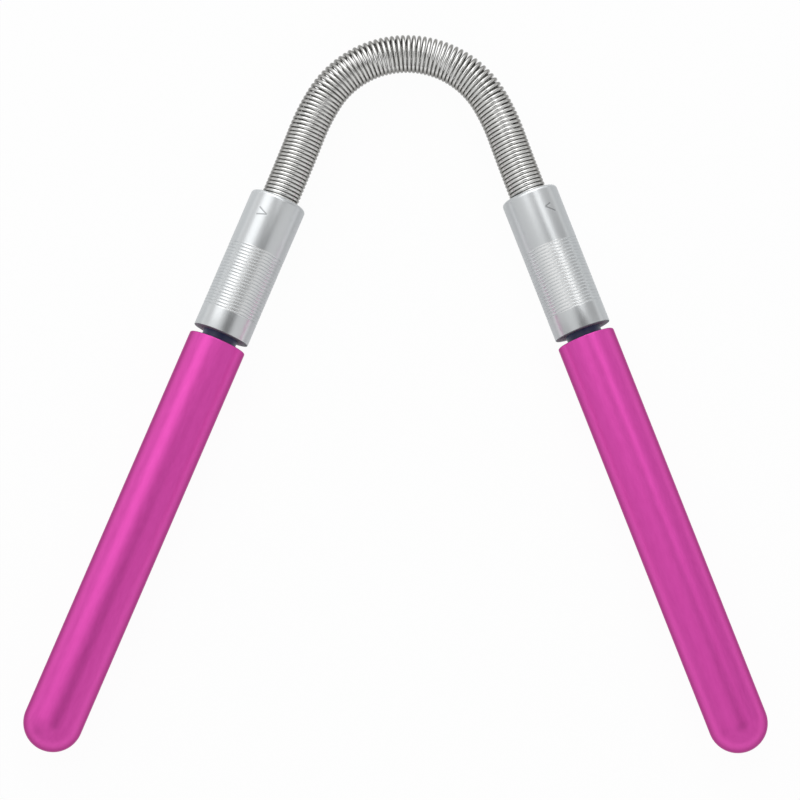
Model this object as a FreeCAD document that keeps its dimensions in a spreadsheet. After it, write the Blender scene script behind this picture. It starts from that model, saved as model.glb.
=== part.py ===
import FreeCAD, Part
import math
import os

import Sketcher

# Facial hair removal spring, millimetres, lying flat with +Z up. A close-wound coil of steel wire is bent into
# an arch in the XY plane, crown towards +Y. A turned sleeve holds each end of the coil, and a round handle turns
# freely on a headed pin below each sleeve. The two sides are alike, but the crown sits a little off the coil's
# middle, so the left sleeve and handle lie slightly lower than the right ones.

SIZES = [
    ("wire_diameter", 0.62, "round steel wire"),
    ("coil_diameter", 6.2, "outside of the wound coil"),
    ("turn_gap", 0.015, "air between two turns where the coil is closed"),
    ("wire_sides", 6, "flats round the wire"),
    ("turn_sides", 9, "straight pieces in one turn"),
    ("crown_radius", 15.6, "middle line of the coil over the crown"),
    ("shoulder_radius", 34.0, "middle line where the crown runs out into a leg"),
    ("shoulder_length", 6.6, "along each shoulder"),
    ("leg_radius", 370.0, "slight bend back of each leg, inside the sleeve's line"),
    ("leg_length", 11.1, "from the shoulder to the sleeve's mouth, mean of the two legs"),
    ("crown_offset", 0.8, "middle of the crown off the middle of the coil, towards the right sleeve"),
    ("coil_insertion", 3.2, "coil hidden in each sleeve"),
    ("arm_angle", 21.9, "degrees between each arm and the middle line"),
    ("mouth_clearance", 0.05, "between the coil and the wall of the sleeve's mouth"),
    ("seat_clearance", 0.1, "between the coil's end and the bottom of the mouth"),
    ("sleeve_diameter", 9.3, "outside of the sleeve"),
    ("sleeve_length", 24.0, "end to end"),
    ("mouth_round", 0.65, "rounded edge at the coil end"),
    ("sleeve_edge", 0.12, "broken edge at the handle end"),
    ("ring_count", 21, "turned rings in the grip band"),
    ("ring_pitch", 0.54, "from ring to ring"),
    ("ring_width", 0.24, "of one ring at the surface"),
    ("ring_depth", 0.08, "below the surface"),
    ("ring_start", 3.75, "first ring from the sleeve's handle end"),
    ("bush_diameter", 5.8, "swivel bush, which shows as the neck"),
    ("bush_insertion", 8.0, "bush inside the sleeve"),
    ("neck_length", 1.3, "open gap between sleeve and handle"),
    ("pin_diameter", 3.0, "swivel pin"),
    ("pin_clearance", 0.05, "round the pin in its bush"),
    ("pin_grip", 10.0, "pin pressed into the handle"),
    ("pin_end_room", 0.3, "below the pin in its hole"),
    ("head_diameter", 4.6, "head of the pin, above the bush"),
    ("head_height", 1.2, "thickness of the pin's head"),
    ("head_room", 0.4, "above the pin's head"),
    ("end_play", 0.05, "at each end of the bush"),
    ("handle_diameter", 9.5, "handle bar"),
    ("handle_length", 71.0, "from its flat end to the tip of the ball end"),
    ("handle_edge", 0.25, "rounded edge at the flat end"),
]


class Length:
    """A length with the formula that binds it to the sheet."""

    def __init__(self, value, formula):
        self.value = value
        self.formula = formula

    def __add__(self, other):
        return Length(self.value + other.value, f"({self.formula} + {other.formula})")

    def __sub__(self, other):
        return Length(self.value - other.value, f"({self.formula} - {other.formula})")

    def __mul__(self, number):
        return Length(self.value * number, f"{self.formula} * {number}")

    def __truediv__(self, number):
        return Length(self.value / number, f"{self.formula} / {number}")


doc = FreeCAD.newDocument("facial_hair_spring")
sheet = doc.addObject("Spreadsheet::Sheet", "Sizes")
size = {}
for row, (name, value, note) in enumerate(SIZES, start=1):
    sheet.set(f"A{row}", note)
    sheet.set(f"B{row}", str(value))
    sheet.setAlias(f"B{row}", name)
    size[name] = Length(value, f"Sizes.{name}")
doc.recompute()
ZERO = Length(0, "0")

# Lengths that more than one piece is made from.
wire_r = size["wire_diameter"] / 2
coil_r = size["coil_diameter"] / 2
mouth_r = coil_r + size["mouth_clearance"]
mouth_depth = size["coil_insertion"] + wire_r + size["seat_clearance"]
sleeve_r = size["sleeve_diameter"] / 2
bush_r = size["bush_diameter"] / 2
pin_r = size["pin_diameter"] / 2
handle_r = size["handle_diameter"] / 2
head_seat = size["bush_insertion"] + size["end_play"]
swivel_depth = head_seat + size["head_height"] + size["head_room"]
arm_to_handle = size["sleeve_length"] + size["neck_length"]


# Sketches and features shared by the turned pieces.
def half_profile(body, name, corners, ball=None):
    """Closed outline in the body's XZ plane, from corners given as (radius, height).

    With a ball, the last corner lies on the axis and a quarter circle of that radius leads up to it.
    """
    sketch = body.newObject("Sketcher::SketchObject", name)
    plane = [item for item in body.Origin.OriginFeatures if item.Role == "XZ_Plane"][0]
    sketch.AttachmentSupport = [(plane, "")]
    sketch.MapMode = "FlatFace"
    points = [FreeCAD.Vector(radius.value, height.value, 0) for radius, height in corners]
    arc = len(corners) - 2 if ball else None
    for i, point in enumerate(points):
        after = points[(i + 1) % len(points)]
        if i == arc:
            circle = Part.Circle(FreeCAD.Vector(0, point.y, 0), FreeCAD.Vector(0, 0, 1), ball.value)
            sketch.addGeometry(Part.ArcOfCircle(circle, 0, math.pi / 2), False)
        else:
            sketch.addGeometry(Part.LineSegment(point, after), False)
    for i, (radius, height) in enumerate(corners):
        before = (i - 1) % len(corners)
        sketch.addConstraint(Sketcher.Constraint("Coincident", before, 2, i, 1))
        for kind, axis, length in (("DistanceX", -2, radius), ("DistanceY", -1, height)):
            if length is ZERO:
                sketch.addConstraint(Sketcher.Constraint("PointOnObject", i, 1, axis))
                continue
            datum = sketch.addConstraint(Sketcher.Constraint(kind, -1, 1, i, 1, length.value))
            sketch.setExpression(f"Constraints[{datum}]", length.formula)
    if ball:
        sketch.addConstraint(Sketcher.Constraint("PointOnObject", arc, 3, -2))
    return sketch


def turned(body, name, corners, ball=None):
    """Solid of revolution about the body's Z axis."""
    sketch = half_profile(body, f"{name}_profile", corners, ball)
    solid = body.newObject("PartDesign::Revolution", name)
    solid.Profile = sketch
    solid.ReferenceAxis = (sketch, ["V_Axis"])
    solid.Angle = 360
    body.Tip = solid
    doc.recompute()
    return solid


def rounded(body, name, radius, at_radius, at_height):
    """Rounds the one circular edge that has the given radius and height."""
    base = body.Tip
    found = [
        f"Edge{i}"
        for i, edge in enumerate(base.Shape.Edges, start=1)
        if not edge.Degenerated
        and isinstance(edge.Curve, Part.Circle)
        and abs(edge.Curve.Radius - at_radius.value) < 1e-6
        and abs(edge.Curve.Center.z - at_height.value) < 1e-6
    ]
    fillet = body.newObject("PartDesign::Fillet", name)
    fillet.Base = (base, found)
    fillet.setExpression("Radius", radius.formula)
    body.Tip = fillet
    doc.recompute()


# The arch: a chain of runs, each a length of the coil's middle line with its bend.
def arch_runs():
    """(length, curvature) of each run from the left end to the right, curvature positive towards the inside."""
    length, offset = size["leg_length"].value, size["crown_offset"].value
    bend = -1 / size["leg_radius"].value
    left_leg, right_leg = (length + offset, bend), (length - offset, bend)
    shoulder = (size["shoulder_length"].value, 1 / size["shoulder_radius"].value)
    end = (size["coil_insertion"].value, 0.0)
    sides = 2 * (shoulder[0] * shoulder[1] + length * bend)
    crown_turn = math.pi - 2 * arm_angle - sides
    crown = (crown_turn * size["crown_radius"].value, 1 / size["crown_radius"].value)
    return [end, left_leg, shoulder, crown, shoulder, right_leg, end]


def along(place, length, bend):
    """The place (x, y, heading) that a run of this length and bend leads to."""
    x, y, heading = place
    if bend == 0:
        return x + length * math.cos(heading), y + length * math.sin(heading), heading
    after = heading - bend * length
    return (
        x + (math.sin(heading) - math.sin(after)) / bend,
        y - (math.cos(heading) - math.cos(after)) / bend,
        after,
    )


def arch_places(runs):
    """Where each run starts, and where the last one ends, with the whole spring centred over the origin."""
    places = [(0.0, 0.0, math.pi / 2 - arm_angle)]
    for length, bend in runs:
        places.append(along(places[-1], length, bend))
    left_mouth, right_mouth = places[1], places[-2]
    crown_start, crown_bend = places[3], runs[3][1]
    top = along(crown_start, crown_start[2] / crown_bend, crown_bend)[1] + coil_r.value
    bottom = min(left_mouth[1], right_mouth[1]) - ball_reach * math.cos(arm_angle) - handle_r.value
    middle_x, middle_y = (left_mouth[0] + right_mouth[0]) / 2, (top + bottom) / 2
    return [(x - middle_x, y - middle_y, heading) for x, y, heading in places]


def helix_points(runs, places):
    """Corners of the wire's middle line. The turns touch on the inside of each bend and fan out outside it."""
    turn_sides = size["turn_sides"].value
    # The corner of a mitred turn stands out to the coil's outer diameter.
    helix_r = coil_r.value - wire_r.value / math.cos(math.pi / turn_sides)
    pitch = size["wire_diameter"].value + size["turn_gap"].value
    rates = [(1 - max(bend, 0) * helix_r) / pitch for _, bend in runs]
    turns = sum(rate * length for rate, (length, _) in zip(rates, runs))
    corners = round(turns * turn_sides)
    points, passed = [], 0.0
    for rate, (length, bend), place in zip(rates, runs, places):
        while len(points) <= corners:
            turn = turns * len(points) / corners
            if turn > passed + rate * length + 1e-6:
                break
            x, y, heading = along(place, (turn - passed) / rate, bend)
            out, up = math.cos(2 * math.pi * turn), math.sin(2 * math.pi * turn)
            points.append(
                FreeCAD.Vector(
                    x - math.sin(heading) * out * helix_r,
                    y + math.cos(heading) * out * helix_r,
                    up * helix_r,
                )
            )
        passed += rate * length
    return points, turns


arm_angle = math.radians(size["arm_angle"].value)
ball_reach = (arm_to_handle + size["handle_length"] - handle_r).value
axis_height = handle_r.value
runs = arch_runs()
places = arch_places(runs)
mouths = {-1: places[1], 1: places[-2]}


def arm_placement(side, distance):
    """A frame on the arm's axis, its Z pointing towards the handle's tip and its X at the floor."""
    outward = FreeCAD.Vector(side * math.sin(arm_angle), -math.cos(arm_angle), 0)
    mouth = FreeCAD.Vector(mouths[side][0], mouths[side][1], axis_height)
    down = FreeCAD.Vector(0, 0, -1)
    turn = FreeCAD.Rotation(down, outward.cross(down), outward, "ZXY")
    return FreeCAD.Placement(mouth + outward * distance.value, turn)


def make_coil():
    """One wire, wound round the arch: a regular section swept with mitred corners."""
    points, turns = helix_points(runs, places)
    path = doc.addObject("Part::Feature", "coil_path")
    path.Shape = Part.makePolygon(points)
    section = doc.addObject("Part::RegularPolygon", "wire_section")
    section.setExpression("Polygon", size["wire_sides"].formula)
    section.setExpression("Circumradius", wire_r.formula)
    ahead = points[1] - points[0]
    section.Placement = FreeCAD.Placement(points[0], FreeCAD.Rotation(FreeCAD.Vector(0, 0, 1), ahead))
    doc.recompute()
    coil = doc.addObject("Part::Sweep", "coil")
    coil.Sections = [section]
    coil.Spine = (path, [f"Edge{i}" for i in range(1, len(path.Shape.Edges) + 1)])
    coil.Solid = True
    coil.Frenet = False
    coil.Transition = "Right corner"
    coil.Placement = FreeCAD.Placement(FreeCAD.Vector(0, 0, axis_height), FreeCAD.Rotation())
    print(f"coil: {turns:.1f} turns, {path.Shape.Length:.0f} mm of wire")
    return coil


def make_sleeve(name):
    """Turned sleeve, mouth at Z = 0: a blind mouth for the coil, and a bore from the other end for the swivel."""
    body = doc.addObject("PartDesign::Body", name)
    bottom = size["sleeve_length"]
    cavity = bottom - swivel_depth
    outline = [
        (ZERO, mouth_depth),
        (mouth_r, mouth_depth),
        (mouth_r, ZERO),
        (sleeve_r, ZERO),
        (sleeve_r, bottom),
        (bush_r, bottom),
        (bush_r, cavity),
        (ZERO, cavity),
    ]
    turned(body, f"{name}_bar", outline)
    rounded(body, f"{name}_mouth_round", size["mouth_round"], sleeve_r, ZERO)
    rounded(body, f"{name}_edge_round", size["sleeve_edge"], sleeve_r, bottom)

    # One ring: a shallow V, drawn twice as wide and deep as it cuts so that it starts outside the bar.
    centre = bottom - size["ring_start"]
    wide, deep = size["ring_width"], size["ring_depth"]
    notch = [(sleeve_r + deep, centre - wide), (sleeve_r + deep, centre + wide), (sleeve_r - deep, centre)]
    plain = body.Tip.Shape.Volume
    sketch = half_profile(body, f"{name}_ring_profile", notch)
    ring = body.newObject("PartDesign::Groove", f"{name}_ring")
    ring.Profile = sketch
    ring.ReferenceAxis = (sketch, ["V_Axis"])
    ring.Angle = 360
    body.Tip = ring
    doc.recompute()
    assert ring.Shape.Volume < plain, f"{name}: the ring cuts nothing"
    rings = body.newObject("PartDesign::LinearPattern", f"{name}_rings")
    rings.Originals = [ring]
    rings.Direction = (sketch, ["V_Axis"])
    rings.Reversed = True
    rings.Mode = "Spacing"
    rings.setExpression("Offset", size["ring_pitch"].formula)
    rings.setExpression("Occurrences", size["ring_count"].formula)
    body.Tip = rings
    return body


def make_bush(name):
    """Plain bush, its far end at Z = 0: pressed into the sleeve, and left standing out as the neck."""
    body = doc.addObject("PartDesign::Body", name)
    bore_r = pin_r + size["pin_clearance"]
    length = size["bush_insertion"] + size["neck_length"] - size["end_play"]
    turned(body, f"{name}_tube", [(bore_r, ZERO), (bush_r, ZERO), (bush_r, length), (bore_r, length)])
    return body


def make_pin(name):
    """Headed pin, the underside of its head at Z = 0, its shank pressed into the handle."""
    body = doc.addObject("PartDesign::Body", name)
    head_r = size["head_diameter"] / 2
    shank = head_seat + size["neck_length"] + size["pin_grip"]
    head_top = ZERO - size["head_height"]
    outline = [
        (ZERO, head_top),
        (head_r, head_top),
        (head_r, ZERO),
        (pin_r, ZERO),
        (pin_r, shank),
        (ZERO, shank),
    ]
    turned(body, f"{name}_shank", outline)
    return body


def make_handle(name):
    """Solid bar with a ball end and a blind hole for the pin, its flat end at Z = 0."""
    body = doc.addObject("PartDesign::Body", name)
    hole = size["pin_grip"] + size["pin_end_room"]
    outline = [
        (ZERO, hole),
        (pin_r, hole),
        (pin_r, ZERO),
        (handle_r, ZERO),
        (handle_r, size["handle_length"] - handle_r),
        (ZERO, size["handle_length"]),
    ]
    turned(body, f"{name}_bar", outline, ball=handle_r)
    rounded(body, f"{name}_edge_round", size["handle_edge"], handle_r, ZERO)
    return body


make_coil()
for word, side in (("left", -1), ("right", 1)):
    sleeve = make_sleeve(f"grip_sleeve_{word}")
    bush = make_bush(f"swivel_bush_{word}")
    pin = make_pin(f"swivel_pin_{word}")
    handle = make_handle(f"handle_{word}")
    sleeve.Placement = arm_placement(side, ZERO)
    bush.Placement = arm_placement(side, size["sleeve_length"] - size["bush_insertion"])
    pin.Placement = arm_placement(side, size["sleeve_length"] - head_seat)
    handle.Placement = arm_placement(side, arm_to_handle)
doc.recompute()

for item in doc.Objects:
    if "Invalid" in item.State or "Error" in item.State:
        raise RuntimeError(f"{item.Label} failed: {item.State}")

os.makedirs("parts", exist_ok=True)
nodes = [item for item in doc.Objects if item.isDerivedFrom("PartDesign::Body") or item.Label == "coil"]
for node in nodes:
    shape = node.Shape
    if shape.isNull() or not shape.isValid() or not shape.Solids:
        raise RuntimeError(f"{node.Label} is not a sound solid")
    shape.exportStep(f"parts/{node.Label}.step")
    print(f"{node.Label}: {len(shape.Solids)} solid, {shape.Volume:.1f} mm3")
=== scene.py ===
import bpy
import math
from mathutils import Matrix, Vector


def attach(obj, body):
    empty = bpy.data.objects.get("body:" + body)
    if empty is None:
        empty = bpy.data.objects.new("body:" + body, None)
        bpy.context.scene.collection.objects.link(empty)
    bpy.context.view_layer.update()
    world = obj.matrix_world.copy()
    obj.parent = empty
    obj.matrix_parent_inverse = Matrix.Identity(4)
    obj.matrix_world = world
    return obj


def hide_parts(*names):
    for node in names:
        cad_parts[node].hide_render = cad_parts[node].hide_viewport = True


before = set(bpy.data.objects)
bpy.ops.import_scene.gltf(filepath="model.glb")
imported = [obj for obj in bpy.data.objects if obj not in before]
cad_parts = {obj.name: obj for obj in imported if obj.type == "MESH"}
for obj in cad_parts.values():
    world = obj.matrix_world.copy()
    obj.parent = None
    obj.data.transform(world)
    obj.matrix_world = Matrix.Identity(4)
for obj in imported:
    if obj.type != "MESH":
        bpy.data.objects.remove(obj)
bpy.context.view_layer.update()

# The spring lies flat on a pale table, the crown of its coil away from the viewer. All lengths below are
# in millimetres and become metres with mm. Each piece is made in place, in the same frame as the solids.
mm = 0.001

# The camera stands over the table on the handles' side, tilted a little off the upright, with a long lens.
# The picture is 800 pixels wide and one pixel is 0.16 mm at the spring.
picture_width, pixel, sensor = 800, 0.16062, 36
distance = 650 * mm
aim = Vector((-0.115, -1.351, 4.75)) * mm
stance = Matrix.Rotation(math.radians(8.5), 3, "X") @ Matrix.Rotation(math.radians(0.913), 3, "Z")
bpy.ops.object.camera_add(location=aim + stance @ Vector((0, 0, distance)), rotation=stance.to_euler())
camera = bpy.context.object
camera.name = "camera"
camera.data.lens = sensor * distance / (picture_width * pixel * mm)
camera.data.sensor_width = sensor
camera.data.clip_start = 0.01
camera.data.clip_end = 10
bpy.context.scene.camera = camera


# The coil is one length of bright drawn stainless wire, wound close and right-handed, then bent into an arch.
# Its turns touch on the inside of the crown and fan out on the outside. Both ends sit in the sleeves' mouths.
wire = 0.62
coil_r = 2.79
turn = 0.635
held = 3.2
left_leg, right_leg, leg_r = 11.9, 10.3, 370
shoulder, shoulder_r = 6.6, 34
crown_r = 15.6
arm_angle = math.radians(21.9)
mouths = {-1: Vector((-20.175, 31.009, 4.75)), 1: Vector((20.175, 32.580, 4.75))}

# The arch as runs of (length, bend) from the left end. The crown takes up what the others leave of the turn.
arch = [
    (held, 0),
    (left_leg, -1 / leg_r),
    (shoulder, 1 / shoulder_r),
    (0, 1 / crown_r),
    (shoulder, 1 / shoulder_r),
    (right_leg, -1 / leg_r),
    (held, 0),
]
bent = sum(length * bend for length, bend in arch)
arch[3] = ((math.pi - 2 * arm_angle - bent) * crown_r, 1 / crown_r)

# The wire's path starts as a straight screw line, drawn from one point and longer than the coil.
bpy.ops.object.select_all(action="DESELECT")
bpy.ops.mesh.primitive_plane_add(size=mm, location=(0, 0, 0))
coil = bpy.context.object
coil.name = "coil_wire"
bpy.ops.object.mode_set(mode="EDIT")
bpy.ops.mesh.merge(type="CENTER")
bpy.ops.transform.translate(value=(0, coil_r * mm, 0))
bpy.ops.object.mode_set(mode="OBJECT")
winding = coil.modifiers.new("winding", "SCREW")
winding.axis = "X"
winding.steps = winding.render_steps = 24
winding.iterations = 112
winding.screw_offset = turn * mm
bpy.ops.object.modifier_apply(modifier=winding.name)


def select_points(piece, chosen):
    """Selects the points of a piece that the test chooses, in edit mode, and nothing else."""
    bpy.ops.object.mode_set(mode="EDIT")
    bpy.ops.mesh.select_mode(type="VERT")
    bpy.ops.mesh.select_all(action="DESELECT")
    bpy.ops.object.mode_set(mode="OBJECT")
    for point in piece.data.vertices:
        point.select = chosen(point.co / mm)
    bpy.ops.object.mode_set(mode="EDIT")


# Each inward bend spreads the turns of its run, so that they still touch on the inside of the arch. What is
# left of the screw line past the last run is cut off.
reached, spread = 0, 1
for length, bend in arch:
    wanted = 1 / (1 - max(bend, 0) * coil_r)
    select_points(coil, lambda at: at.x > reached + 1e-4)
    bpy.ops.transform.resize(value=(wanted / spread, 1, 1), center_override=(reached * mm, 0, 0))
    reached, spread = reached + length, wanted
select_points(coil, lambda at: at.x > reached + 1e-4)
bpy.ops.mesh.delete(type="VERT")
bpy.ops.object.mode_set(mode="OBJECT")

# The arch's middle line, from the end of the coil in the left sleeve to the end in the right one, each run in
# three arcs. Each knot's handles reach a third of the way along its arcs.
arcs = 3
heading = math.pi / 2 - arm_angle
line = [(Vector((0, 0, 0)), heading)]
reaches = []
for length, bend in arch:
    for arc in range(arcs):
        at, heading = line[-1]
        after = heading - bend * length / arcs
        middle = (heading + after) / 2
        chord = length / arcs
        if bend:
            chord = 2 / bend * math.sin(bend * length / (2 * arcs))
        line.append((at + chord * Vector((math.cos(middle), math.sin(middle), 0)), after))
        reaches.append(length / (3 * arcs))
raised = mouths[-1] - line[arcs][0]
bpy.ops.curve.primitive_bezier_curve_add(location=(0, 0, 0))
guide = bpy.context.object
guide.data.dimensions = "2D"
guide.data.resolution_u = 64
knots = guide.data.splines[0].bezier_points
knots.add(len(line) - 2)
for i, (knot, (at, heading)) in enumerate(zip(knots, line)):
    along = Vector((math.cos(heading), math.sin(heading), 0))
    knot.handle_left_type = knot.handle_right_type = "FREE"
    knot.co = at * mm
    knot.handle_left = (at - along * reaches[max(i - 1, 0)]) * mm
    knot.handle_right = (at + along * reaches[min(i, len(reaches) - 1)]) * mm
bending = coil.modifiers.new("bending", "CURVE")
bending.object = guide
bending.deform_axis = "POS_X"
bpy.context.view_layer.objects.active = coil
bpy.ops.object.modifier_apply(modifier=bending.name)
bpy.data.objects.remove(guide)

# The round wire follows that path, with its two cut ends closed.
bpy.ops.object.select_all(action="DESELECT")
coil.select_set(True)
bpy.ops.object.convert(target="CURVE")
coil.data.bevel_depth = wire / 2 * mm
coil.data.bevel_resolution = 5
coil.data.use_fill_caps = True
bpy.ops.object.convert(target="MESH")
coil.location = raised * mm
bpy.ops.object.transform_apply(location=True, rotation=True, scale=True)
bpy.ops.object.mode_set(mode="EDIT")
bpy.ops.mesh.select_all(action="SELECT")
bpy.ops.mesh.remove_doubles(threshold=0.002 * mm)
bpy.ops.mesh.normals_make_consistent(inside=False)
bpy.ops.object.mode_set(mode="OBJECT")
bpy.ops.object.shade_smooth_by_angle(angle=math.radians(50))


class Shade:
    """One output of a material's nodes. Sums, products and comparisons of outputs add Math nodes."""

    def __init__(self, tree, socket=None):
        self.tree = tree
        self.socket = socket

    def add(self, kind, settings, sockets, output=0):
        """Adds a node: its settings first, then the values or links of its sockets."""
        node = self.tree.nodes.new(kind)
        for name, value in settings.items():
            setattr(node, name, value)
        for name, value in sockets.items():
            if isinstance(value, Shade):
                self.tree.links.new(value.socket, node.inputs[name])
            else:
                node.inputs[name].default_value = value
        return Shade(self.tree, node.outputs[output] if node.outputs else None)

    def __add__(self, other):
        return self.add("ShaderNodeMath", {"operation": "ADD"}, {0: self, 1: other})

    def __sub__(self, other):
        return self.add("ShaderNodeMath", {"operation": "SUBTRACT"}, {0: self, 1: other})

    def __rsub__(self, other):
        return self.add("ShaderNodeMath", {"operation": "SUBTRACT"}, {0: other, 1: self})

    def __mul__(self, other):
        return self.add("ShaderNodeMath", {"operation": "MULTIPLY"}, {0: self, 1: other})

    def __abs__(self):
        return self.add("ShaderNodeMath", {"operation": "ABSOLUTE"}, {0: self})

    def __lt__(self, other):
        return self.add("ShaderNodeMath", {"operation": "LESS_THAN"}, {0: self, 1: other})

    def __gt__(self, other):
        return self.add("ShaderNodeMath", {"operation": "GREATER_THAN"}, {0: self, 1: other})

    __radd__ = __add__
    __rmul__ = __mul__


def new_material(name):
    """Makes a material with no nodes yet."""
    material = bpy.data.materials.new(name)
    material.use_nodes = True
    material.node_tree.nodes.clear()
    return material, Shade(material.node_tree)


def patches(shade, place, scale, detail):
    """Soft random patches from 0 to 1, so many to a metre."""
    return shade.add("ShaderNodeTexNoise", {}, {"Vector": place, "Scale": scale, "Detail": detail})


def facing_away(shade):
    """0 where the surface faces the eye, rising to 1 where it is seen edge on."""
    return shade.add("ShaderNodeLayerWeight", {}, {"Blend": 0.5}, "Facing")


def fade(shade, value, start, end, most=1):
    """Goes softly from 0 where the value is at the start to most where it is at the end."""
    return shade.add(
        "ShaderNodeMapRange",
        {"interpolation_type": "SMOOTHSTEP"},
        {"Value": value, "From Min": start, "From Max": end, "To Min": 0, "To Max": most},
    )


def blend(shade, share, colour, other):
    """Mixes two colours, by the share of the other one."""
    return shade.add("ShaderNodeMix", {"data_type": "RGBA"}, {0: share, 6: colour, 7: other}, 2)


def finish_material(shade, relief, strength, sockets):
    """Ends a material in one surface with these sockets and a fine relief."""
    normal = shade.add("ShaderNodeBump", {}, {"Strength": strength, "Distance": 0.01 * mm, "Height": relief})
    surface = shade.add("ShaderNodeBsdfPrincipled", {}, {"Normal": normal, **sockets})
    shade.add("ShaderNodeOutputMaterial", {}, {"Surface": surface})


# Bright drawn wire: nearly a mirror, and a little uneven where the die and the winding have rubbed it. The
# sides of each turn, where the turns meet, are darkened with painted shade.
spring_steel, steel = new_material("bright_spring_wire")
place = steel.add("ShaderNodeTexCoord", {}, {}, "Object")
rub = patches(steel, place, 1600, 3)
drift = patches(steel, place, 240, 2)
tone = blend(steel, drift, (0.79, 0.79, 0.775, 1), (0.88, 0.88, 0.865, 1))
# Painted shade: a dark brown-grey is laid over the sides of each turn, where the turns meet.
painted_side_shade = fade(steel, facing_away(steel), 0.12, 0.60, 0.84)
tone = blend(steel, painted_side_shade, tone, (0.10, 0.095, 0.085, 1))
finish_material(steel, rub, 0.12, {"Base Color": tone, "Metallic": 1, "Roughness": 0.12 + 0.08 * rub})
coil.data.materials.clear()
coil.data.materials.append(spring_steel)
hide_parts("coil")
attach(coil, "spring")


# The sleeves are short bars turned from aluminium, each with a blind mouth that holds an end of the coil, and
# a bore for the swivel. They are satin and clear anodised, and a band of fine rings to grip by is cut last.
sleeve_r, sleeve_length = 4.65, 24
mouth_r, mouth_depth = 3.15, 3.61
bush_r, swivel_top = 2.9, 14.35
mouth_round, mouth_break, foot_break = 0.65, 0.08, 0.12
ring_count, ring_pitch, ring_first = 21, 0.54, 20.25
ring_groove = [(0, -0.12), (-0.055, -0.05), (-0.08, 0), (-0.055, 0.05), (0, 0.12)]


def turned(name, outline, sides):
    """Turns a piece on its own upright axis from an outline of (radius, height) points."""
    bpy.ops.object.select_all(action="DESELECT")
    radius, height = outline[0]
    bpy.ops.mesh.primitive_plane_add(size=mm, location=(0, 0, 0))
    piece = bpy.context.object
    piece.name = name
    bpy.ops.object.mode_set(mode="EDIT")
    bpy.ops.mesh.merge(type="CENTER")
    bpy.ops.transform.translate(value=(radius * mm, 0, height * mm))
    for (r0, h0), (r1, h1) in zip(outline, outline[1:]):
        step = ((r1 - r0) * mm, 0, (h1 - h0) * mm)
        bpy.ops.mesh.extrude_region_move(TRANSFORM_OT_translate={"value": step})
    bpy.ops.mesh.select_all(action="SELECT")
    bpy.ops.mesh.spin(steps=sides, angle=2 * math.pi, center=(0, 0, 0), axis=(0, 0, 1))
    bpy.ops.mesh.select_all(action="SELECT")
    bpy.ops.mesh.remove_doubles(threshold=0.001 * mm)
    bpy.ops.mesh.normals_make_consistent(inside=False)
    bpy.ops.object.mode_set(mode="OBJECT")
    return piece


def soften_edge(piece, radius, height, width, segments):
    """Rounds the round edge of this radius at this height."""
    select_points(
        piece, lambda at: abs(math.hypot(at.x, at.y) - radius) < 0.01 and abs(at.z - height) < 0.001
    )
    bpy.ops.mesh.bevel(offset=width * mm, segments=segments, affect="EDGES")
    bpy.ops.object.mode_set(mode="OBJECT")


def set_on_arm(piece, side, from_mouth):
    """Lays a piece along an arm, its foot this far from the sleeve's mouth, by moving its mesh."""
    turn_out = side * arm_angle
    outward = Vector((math.sin(turn_out), -math.cos(turn_out), 0))
    bpy.ops.object.select_all(action="DESELECT")
    piece.select_set(True)
    bpy.context.view_layer.objects.active = piece
    piece.location = (mouths[side] + outward * from_mouth) * mm
    piece.rotation_euler = (math.pi / 2, 0, turn_out)
    bpy.ops.object.transform_apply(location=True, rotation=True, scale=True)
    bpy.ops.object.shade_smooth_by_angle(angle=math.radians(17))


def places_on_arm(shade, side):
    """Places from the middle of the sleeve's mouth, in metres: X across the bar, Y up from it, Z along it."""
    place = shade.add("ShaderNodeTexCoord", {}, {}, "Object")
    arm = {"Location": mouths[side] * mm, "Rotation": (math.pi / 2, 0, side * arm_angle)}
    return shade.add("ShaderNodeMapping", {"vector_type": "TEXTURE"}, {"Vector": place, **arm})


def streaks(shade, place, scales, detail):
    """Patches that are stretched along an axis, so many to a metre along X, Y and Z."""
    stretched = shade.add("ShaderNodeMapping", {}, {"Vector": place, "Scale": scales})
    return patches(shade, stretched, 1, detail)


def larger(shade, one, other):
    """The larger of two values."""
    return shade.add("ShaderNodeMath", {"operation": "MAXIMUM"}, {0: one, 1: other})


outline = [(0, mouth_depth), (mouth_r, mouth_depth), (mouth_r, 0), (sleeve_r, 0)]
for ring in reversed(range(ring_count)):
    middle = ring_first - ring * ring_pitch
    outline += [(sleeve_r + dip, middle + aside) for dip, aside in ring_groove]
outline += [(sleeve_r, sleeve_length), (bush_r, sleeve_length), (bush_r, swivel_top), (0, swivel_top)]
half_band = ring_count * ring_pitch / 2
band_middle = ring_first - half_band + ring_pitch / 2

# Each chevron's point and the ends of its two cuts, round the bar from its top and along it from the mouth.
# A cut is twice cut_half wide, with soft edges.
chevrons = {
    -1: [(-0.46, 3.73), (-2.17, 2.88), (-2.20, 4.16)],
    1: [(1.42, 3.55), (2.46, 3.15), (2.88, 4.63)],
}
cut_half, cut_soft = 0.12, 0.05

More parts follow.
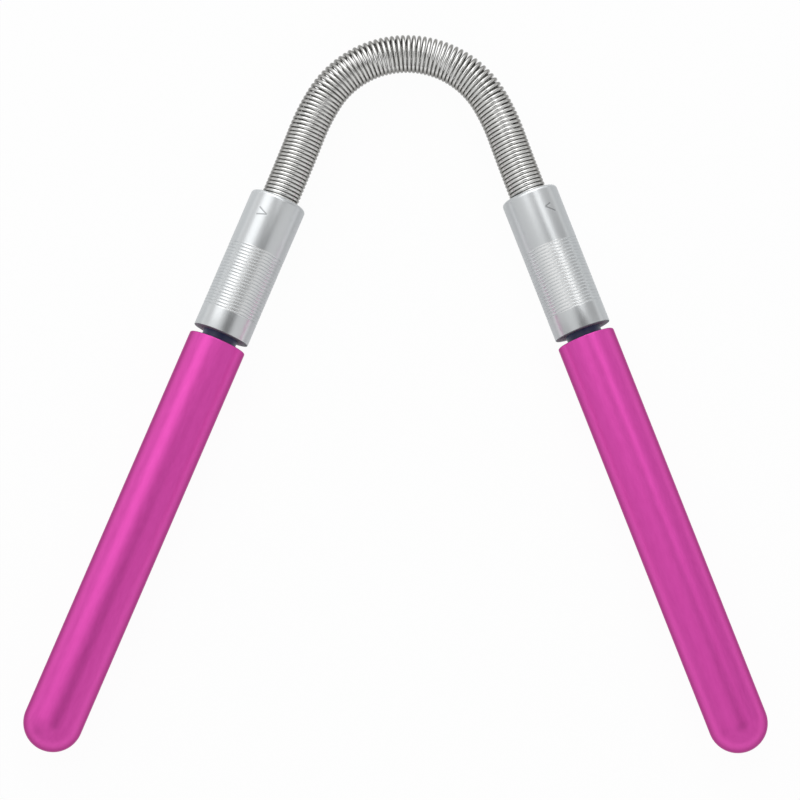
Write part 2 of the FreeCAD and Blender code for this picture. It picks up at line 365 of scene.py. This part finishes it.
for word, side in (("left", -1), ("right", 1)):
    sleeve = turned(f"sleeve_{word}", outline, 120)
    soften_edge(sleeve, sleeve_r, 0, mouth_round, 6)
    soften_edge(sleeve, mouth_r, 0, mouth_break, 2)
    soften_edge(sleeve, sleeve_r, sleeve_length, foot_break, 3)
    set_on_arm(sleeve, side, 0)

    # Satin aluminium: fine marks of the lathe run round the bar.
    satin, metal = new_material(f"satin_sleeve_{word}")
    on_arm = places_on_arm(metal, side)
    lateral, upward, along_arm = [
        metal.add("ShaderNodeSeparateXYZ", {}, {"Vector": on_arm}, axis) for axis in "XYZ"
    ]
    from_mouth = along_arm * (1 / mm)
    marks = streaks(metal, on_arm, (60, 60, 9000), 3)
    grain = patches(metal, on_arm, 2600, 2)
    tone = blend(metal, patches(metal, on_arm, 160, 2), (0.70, 0.725, 0.74, 1), (0.76, 0.78, 0.79, 1))

    # The rings are cut through the satin to bare metal. Their band is painted brighter where it faces the
    # eye: partly the bare metal's own colour, partly a painted highlight.
    turned_away = facing_away(metal)
    band = abs(from_mouth - band_middle) < half_band
    # Painted highlight, partly bare metal: near white laid over the ring band where it faces the eye.
    bare_metal_and_highlight = fade(metal, turned_away, 0.24, 0) * band
    tone = blend(metal, bare_metal_and_highlight, tone, (0.97, 0.98, 0.98, 1))

    # The chevron near the mouth is two short cuts that meet in a point, with painted shade darkening their
    # hollows.
    angle_round = metal.add("ShaderNodeMath", {"operation": "ARCTAN2"}, {0: lateral, 1: upward})
    round_bar = angle_round * sleeve_r
    tip_x, tip_y = chevrons[side][0]
    cut_and_its_shade = 0
    for x, y in chevrons[side][1:]:
        reach = math.hypot(x - tip_x, y - tip_y)
        across, down = (x - tip_x) / reach, (y - tip_y) / reach
        along = (round_bar - tip_x) * across + (from_mouth - tip_y) * down
        off = abs((round_bar - tip_x) * down - (from_mouth - tip_y) * across)
        past = abs(along - reach / 2) - (reach / 2 - cut_half)
        stroke = fade(metal, larger(metal, off, past), cut_half + cut_soft, cut_half - cut_soft)
        cut_and_its_shade = larger(metal, cut_and_its_shade, stroke)
    # Painted shade: the hollows of the cuts are laid dark grey.
    tone = blend(metal, cut_and_its_shade * 0.7, tone, (0.26, 0.27, 0.28, 1))

    # Painted shade darkens the sides of the bar, which are also duller. The plain end face at the handle
    # looks across a narrow gap to the handle, and is painted darkest, as shade.
    painted_side_shade = fade(metal, turned_away, 0.26, 0.46, 0.20)
    tone = blend(metal, painted_side_shade, tone, (0.26, 0.28, 0.29, 1))
    # Painted shade: the end face over the gap to the handle is laid dark grey-green and made less metallic.
    shaded_end_face = from_mouth > sleeve_length - foot_break / 2
    tone = blend(metal, shaded_end_face, tone, (0.22, 0.27, 0.27, 1))
    sockets = {
        "Base Color": tone,
        "Metallic": 1 - 0.7 * shaded_end_face,
        "Roughness": 0.28 + 0.08 * grain + 1.8 * painted_side_shade,
    }
    finish_material(metal, marks * 0.5 + grain * 0.5 - cut_and_its_shade * 6, 0.35, sockets)
    sleeve.data.materials.append(satin)
    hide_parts(f"grip_sleeve_{word}")
    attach(sleeve, "spring")


# The bushes are short tubes moulded in dark acetal and pressed into the sleeves. Each stands out a little
# over a millimetre, and shows as the dark neck between the sleeve and its handle.
bush_low, bush_long, pin_bore = 16, 9.25, 1.55
neck, moulded = new_material("dark_moulded_bush")
place = moulded.add("ShaderNodeTexCoord", {}, {}, "Object")
grain = patches(moulded, place, 3000, 2)
tone = blend(moulded, patches(moulded, place, 300, 2), (0.028, 0.045, 0.115, 1), (0.042, 0.065, 0.15, 1))
finish_material(moulded, grain, 0.2, {"Base Color": tone, "Roughness": 0.34 + 0.1 * grain})

for word, side in (("left", -1), ("right", 1)):
    bpy.ops.object.select_all(action="DESELECT")
    bpy.ops.mesh.primitive_cylinder_add(
        vertices=72, radius=bush_r * mm, depth=bush_long * mm, location=(0, 0, bush_long / 2 * mm)
    )
    bush = bpy.context.object
    bush.name = f"bush_{word}"
    bpy.ops.object.transform_apply(location=True, rotation=True, scale=True)
    bpy.ops.object.mode_set(mode="EDIT")
    bpy.ops.mesh.select_mode(type="FACE")
    bpy.ops.mesh.select_all(action="DESELECT")
    bpy.ops.object.mode_set(mode="OBJECT")
    for face in bush.data.polygons:
        face.select = abs(face.normal.z) > 0.9
    bpy.ops.object.mode_set(mode="EDIT")
    bpy.ops.mesh.inset(thickness=(bush_r - pin_bore) * mm)
    bpy.ops.mesh.delete(type="FACE")
    select_points(bush, lambda at: math.hypot(at.x, at.y) < (bush_r + pin_bore) / 2)
    bpy.ops.mesh.bridge_edge_loops()
    bpy.ops.object.mode_set(mode="OBJECT")
    for height in (0, bush_long):
        soften_edge(bush, bush_r, height, 0.1, 2)
    bpy.ops.object.mode_set(mode="EDIT")
    bpy.ops.mesh.select_all(action="SELECT")
    bpy.ops.mesh.normals_make_consistent(inside=False)
    bpy.ops.object.mode_set(mode="OBJECT")
    set_on_arm(bush, side, bush_low)
    bush.data.materials.append(neck)
    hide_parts(f"swivel_bush_{word}")
    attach(bush, "spring")


# The pins are plain turned steel, headed above the bushes and pressed into the handles. They stay out of
# sight unless the spring is taken apart, and keep the solids' own shape.
pin_steel, pin_shade = new_material("turned_pin_steel")
place = pin_shade.add("ShaderNodeTexCoord", {}, {}, "Object")
marks = patches(pin_shade, place, 1800, 3)
tone = blend(pin_shade, marks, (0.54, 0.54, 0.53, 1), (0.64, 0.64, 0.63, 1))
finish_material(pin_shade, marks, 0.2, {"Base Color": tone, "Metallic": 1, "Roughness": 0.25 + 0.1 * marks})
for word in ("left", "right"):
    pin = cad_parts[f"swivel_pin_{word}"]
    pin.data.materials.clear()
    pin.data.materials.append(pin_steel)


# The handles are solid aluminium bars with a ball end, rubbed to a fine satin and dyed pink in the anodising.
# Their flat ends stand just clear of the bushes, so that each turns freely on its pin.
handle_r, handle_length, handle_edge = 4.75, 71, 0.25
handle_start = 25.3
pin_r, pin_hole = 1.5, 10.3
ball = handle_length - handle_r

for word, side in (("left", -1), ("right", 1)):
    bpy.ops.object.select_all(action="DESELECT")
    bpy.ops.mesh.primitive_uv_sphere_add(
        segments=96, ring_count=48, radius=handle_r * mm, location=(0, 0, ball * mm)
    )
    handle = bpy.context.object
    handle.name = f"handle_bar_{word}"
    bpy.ops.object.transform_apply(location=True, rotation=True, scale=True)
    select_points(handle, lambda at: at.z < ball - 0.01)
    bpy.ops.mesh.delete(type="VERT")
    select_points(handle, lambda at: abs(at.z - ball) < 0.01)
    bpy.ops.mesh.extrude_region_move(TRANSFORM_OT_translate={"value": (0, 0, -ball * mm)})
    bpy.ops.mesh.extrude_region_move()
    bpy.ops.transform.resize(value=(pin_r / handle_r, pin_r / handle_r, 1), center_override=(0, 0, 0))
    bpy.ops.mesh.extrude_region_move(TRANSFORM_OT_translate={"value": (0, 0, pin_hole * mm)})
    bpy.ops.mesh.extrude_region_move()
    bpy.ops.mesh.merge(type="CENTER")
    bpy.ops.mesh.select_all(action="SELECT")
    bpy.ops.mesh.normals_make_consistent(inside=False)
    bpy.ops.object.mode_set(mode="OBJECT")
    soften_edge(handle, handle_r, 0, handle_edge, 4)
    set_on_arm(handle, side, handle_start)

    # Dyed anodising: a satin grain rubbed mostly along the bar, with the dye a touch deeper in patches.
    # Towards the sides the pink is darkened with painted shade.
    pink, dye = new_material(f"pink_anodising_{word}")
    on_arm = places_on_arm(dye, side)
    rub = streaks(dye, on_arm, (2600, 2600, 500), 3)
    cloud = streaks(dye, on_arm, (1500, 1500, 420), 2)
    tone = blend(dye, 0.4 * rub + 0.6 * cloud, (0.72, 0.065, 0.42, 1), (0.87, 0.10, 0.54, 1))
    # Painted shade: a dark magenta is laid over the sides of the bar, where it is seen edge on.
    painted_edge_shade = fade(dye, facing_away(dye), 0.28, 0.75, 0.8)
    tone = blend(dye, painted_edge_shade, tone, (0.22, 0.015, 0.12, 1))
    sockets = {
        "Base Color": tone,
        "Metallic": 0.5 + 0.5 * painted_edge_shade,
        "Roughness": 0.29 + 0.1 * rub,
        "Specular IOR Level": 0.6,
        "Specular Tint": (1, 0.5, 0.8, 1),
    }
    finish_material(dye, rub, 0.3, sockets)
    handle.data.materials.append(pink)
    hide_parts(f"handle_{word}")
    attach(handle, f"{word}_handle")


# The table is a wide sheet of white board. It glows evenly to the eye and in the metal, and is plain board to
# all other light, so that the spring's shadow stays faint.
bpy.ops.object.select_all(action="DESELECT")
bpy.ops.mesh.primitive_plane_add(size=3000 * mm, location=(0, 0, 0))
table = bpy.context.object
table.name = "table"
board, paper = new_material("white_board")
seen = 0
for ray in ("Is Camera Ray", "Is Glossy Ray", "Is Transmission Ray"):
    seen = larger(paper, seen, paper.add("ShaderNodeLightPath", {}, {}, ray))
plain = paper.add("ShaderNodeBsdfDiffuse", {}, {"Color": (0.9, 0.9, 0.9, 1)})
white = paper.add("ShaderNodeEmission", {}, {"Color": (1, 1, 1, 1), "Strength": 1})
both = paper.add("ShaderNodeMixShader", {}, {0: seen * 0.96, 1: plain, 2: white})
paper.add("ShaderNodeOutputMaterial", {}, {"Surface": both})
table.data.materials.append(board)

# A white tent of soft light with five soft oval patches, each placed by the east and north of its direction.
# In turn: dark over the viewer's side, dark high at the back, a bright strip low at the back, and two that
# are a little darker, at the back on the right and in front on the left.
world = bpy.data.worlds.new("tent")
bpy.context.scene.world = world
world.use_nodes = True
world.node_tree.nodes.clear()
tent = Shade(world.node_tree)
towards = tent.add("ShaderNodeTexCoord", {}, {}, "Generated")
east, north = [tent.add("ShaderNodeSeparateXYZ", {}, {"Vector": towards}, axis) for axis in "XY"]
level = 0.70
for x, y, turned_to, wide, long, change in (
    (0.22, -0.13, -arm_angle, 0.38, 0.52, -0.58),
    (0, 0.45, 0, 0.40, 0.26, -0.30),
    (0, 0.90, 0, 0.50, 0.16, 0.90),
    (0.78, 0.36, 0, 0.26, 0.28, -0.30),
    (-0.80, -0.50, 0, 0.35, 0.22, -0.25),
):
    across = ((east - x) * math.cos(turned_to) + (north - y) * math.sin(turned_to)) * (1 / wide)
    along = ((north - y) * math.cos(turned_to) - (east - x) * math.sin(turned_to)) * (1 / long)
    level = fade(tent, across * across + along * along, 1, 0.3, change) + level
shown = larger(tent, level, tent.add("ShaderNodeLightPath", {}, {}, "Is Camera Ray"))
sky = tent.add("ShaderNodeBackground", {}, {"Color": shown, "Strength": 1})
tent.add("ShaderNodeOutputWorld", {}, {"Surface": sky})

# Two soft boxes over the spring, each square to one arm: turned to it, swung out to its side, then tilted
# back. Their sizes and their distance are in metres.
for name, turned_to, swing, tilt, wide, long, power in (
    ("soft_box_left", -arm_angle, -41, 28, 0.50, 0.8, 0.95),
    ("soft_box_right", arm_angle, 26, 29, 0.22, 0.7, 0.50),
):
    stand = Matrix.Rotation(turned_to, 3, "Z")
    stand = stand @ Matrix.Rotation(math.radians(swing), 3, "Y")
    stand = stand @ Matrix.Rotation(-math.radians(tilt), 3, "X")
    bpy.ops.object.light_add(type="AREA", location=stand @ Vector((0, 0, 0.7)), rotation=stand.to_euler())
    lamp = bpy.context.object
    lamp.name = name
    lamp.data.shape = "RECTANGLE"
    lamp.data.size = wide
    lamp.data.size_y = long
    lamp.data.energy = power

scene = bpy.context.scene
scene.view_settings.view_transform = "Standard"

bpy.context.view_layer.update()
